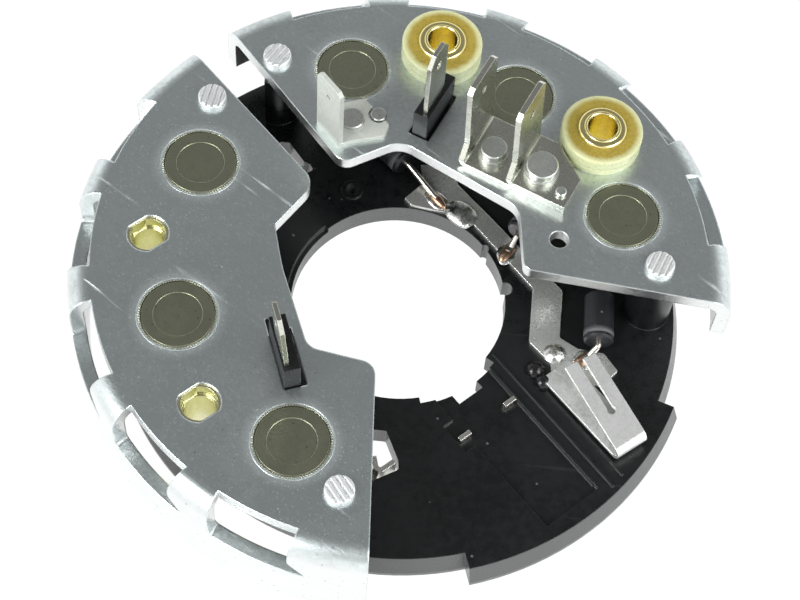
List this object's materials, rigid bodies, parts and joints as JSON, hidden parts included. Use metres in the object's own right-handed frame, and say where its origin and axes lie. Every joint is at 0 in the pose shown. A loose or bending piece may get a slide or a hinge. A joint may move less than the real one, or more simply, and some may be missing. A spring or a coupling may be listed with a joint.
{
  "type": "alternator bridge rectifier",
  "caption": "Bridge rectifier of a vehicle alternator: press-fit diodes in two formed aluminium heatsinks, riveted to a moulded ring with tab terminals.",
  "frame": {"origin": "on the axis of the central bore, on the plane of the ring's underside", "axes": "+Z along the bore axis from the mounting plane to the terminals, +Y to the back of the picture, +X to the right"},
  "size_m": [0.114, 0.114, 0.0415],
  "materials": {
    "amber_laminate": "amber laminate, slightly translucent",
    "bush_moulding": "cream moulded bush",
    "copper_wire": "tinned copper wire, worn to copper",
    "diode_moulding": "black moulded diode body",
    "eyelet_brass": "brass, rolled flange",
    "heatsink_aluminium": "pressed sheet, satin, fine scratches",
    "moulded_resin": "moulded black thermoset, semi-gloss",
    "nickel_plate": "dull nickel plate, turned face",
    "rivet_steel": "plated rivet",
    "seal_compound": "matt moulded seal",
    "sealing_compound": "dark glossy sealing compound",
    "solder": "frozen solder, bright",
    "tinned_copper": "tinned copper strip",
    "tinned_plate": "tinned sheet",
    "yellow_passivate": "yellow passivated steel"
  },
  "bodies": {
    "root": {"base_ring": "moulded_resin", "contact_solder": "solder", "cover_washer_1": "amber_laminate", "cover_washer_2": "amber_laminate", "exciter_bus_strip": "tinned_plate", "exciter_diode_back": "diode_moulding", "exciter_diode_front": "diode_moulding", "exciter_diode_middle": "diode_moulding", "exciter_lead_back": "copper_wire", "exciter_lead_front": "copper_wire", "exciter_lead_middle": "copper_wire", "eyelet_1": "eyelet_brass", "eyelet_2": "eyelet_brass", "insulating_bush_1": "bush_moulding", "insulating_bush_2": "bush_moulding", "insulating_washer_1": "amber_laminate", "insulating_washer_2": "amber_laminate", "negative_diode_1": "nickel_plate", "negative_diode_2": "nickel_plate", "negative_diode_3": "nickel_plate", "negative_diode_lead_1": "copper_wire", "negative_diode_lead_2": "copper_wire", "negative_diode_lead_3": "copper_wire", "negative_diode_seal_1": "seal_compound", "negative_diode_seal_2": "seal_compound", "negative_diode_seal_3": "seal_compound", "negative_heatsink": "heatsink_aluminium", "negative_post_tab": "tinned_plate", "phase_conductor_back": "tinned_copper", "phase_conductor_bore": "tinned_copper", "phase_conductor_front": "tinned_copper", "positive_diode_1": "nickel_plate", "positive_diode_2": "nickel_plate", "positive_diode_3": "nickel_plate", "positive_diode_lead_1": "copper_wire", "positive_diode_lead_2": "copper_wire", "positive_diode_lead_3": "copper_wire", "positive_diode_seal_1": "seal_compound", "positive_diode_seal_2": "seal_compound", "positive_diode_seal_3": "seal_compound", "positive_heatsink": "heatsink_aluminium", "positive_post_tab": "tinned_plate", "rivet_negative_back": "rivet_steel", "rivet_negative_front": "rivet_steel", "rivet_positive_back": "rivet_steel", "rivet_positive_front": "rivet_steel", "sealing_beads": "sealing_compound", "single_pin": "tinned_plate", "single_rivet": "tinned_plate", "single_terminal": "tinned_plate", "spacer_1": "yellow_passivate", "spacer_2": "yellow_passivate", "spring_contact": "tinned_plate", "twin_left_rivet": "tinned_plate", "twin_pin": "tinned_plate", "twin_right_rivet": "tinned_plate", "twin_terminal_lower": "tinned_plate", "twin_terminal_upper": "tinned_plate"}
  },
  "joints": []
}
